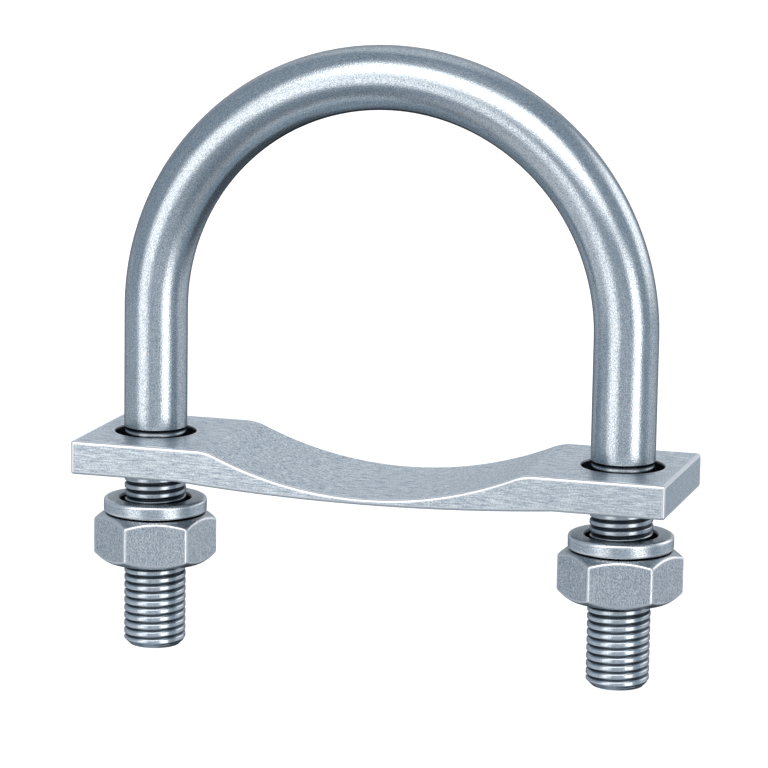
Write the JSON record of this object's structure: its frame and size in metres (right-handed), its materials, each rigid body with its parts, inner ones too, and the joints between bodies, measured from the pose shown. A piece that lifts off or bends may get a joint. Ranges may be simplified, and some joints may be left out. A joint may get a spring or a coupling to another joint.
{
  "type": "u-bolt clamp",
  "caption": "U-bolt pipe clamp: bent round bar with two threaded legs, recessed saddle plate, spring lock washers and hex nuts.",
  "frame": {"origin": "centre of the arch, on the axis of a clamped pipe", "axes": "+Z to the top of the arch, legs along -Z, X from leg to leg, Y along the pipe"},
  "size_m": [0.0951, 0.026, 0.0975],
  "materials": {
    "bar_steel": "satin, fine speckle",
    "plate_steel": "brushed lengthwise",
    "washer_steel": "satin, tumbled edges",
    "nut_steel": "satin, worn edges"
  },
  "bodies": {
    "u_bolt": {"u_bolt": "bar_steel"},
    "saddle_plate": {"saddle_plate": "plate_steel"},
    "washer_left": {"washer_left": "washer_steel"},
    "washer_right": {"washer_right": "washer_steel"},
    "nut_left": {"nut_left": "nut_steel"},
    "nut_right": {"nut_right": "nut_steel"}
  },
  "joints": [
    {"name": "saddle_slide", "type": "slide", "parent": "u_bolt", "child": "saddle_plate", "axis": [0, 0, 1], "range_m": [0, 0.0195]},
    {"name": "washer_left_slide", "type": "slide", "parent": "u_bolt", "child": "washer_left", "axis": [0, 0, 1], "range_m": [-0.0135, 0.005]},
    {"name": "nut_left_turn", "type": "hinge", "parent": "washer_left", "child": "nut_left", "pos_m": [-0.038, 0, -0.037], "axis": [0, 0, 1], "range_deg": [-3889, 1441]},
    {"name": "washer_right_slide", "type": "slide", "parent": "u_bolt", "child": "washer_right", "axis": [0, 0, 1], "range_m": [-0.0135, 0.005]},
    {"name": "nut_right_turn", "type": "hinge", "parent": "washer_right", "child": "nut_right", "pos_m": [0.038, 0, -0.037], "axis": [0, 0, 1], "range_deg": [-3889, 1441]}
  ],
  "couplings": [
    {"joint": "nut_left_turn", "follows": "washer_left_slide", "rad_per_m": 5026.5},
    {"joint": "nut_right_turn", "follows": "washer_right_slide", "rad_per_m": 5026.5}
  ]
}
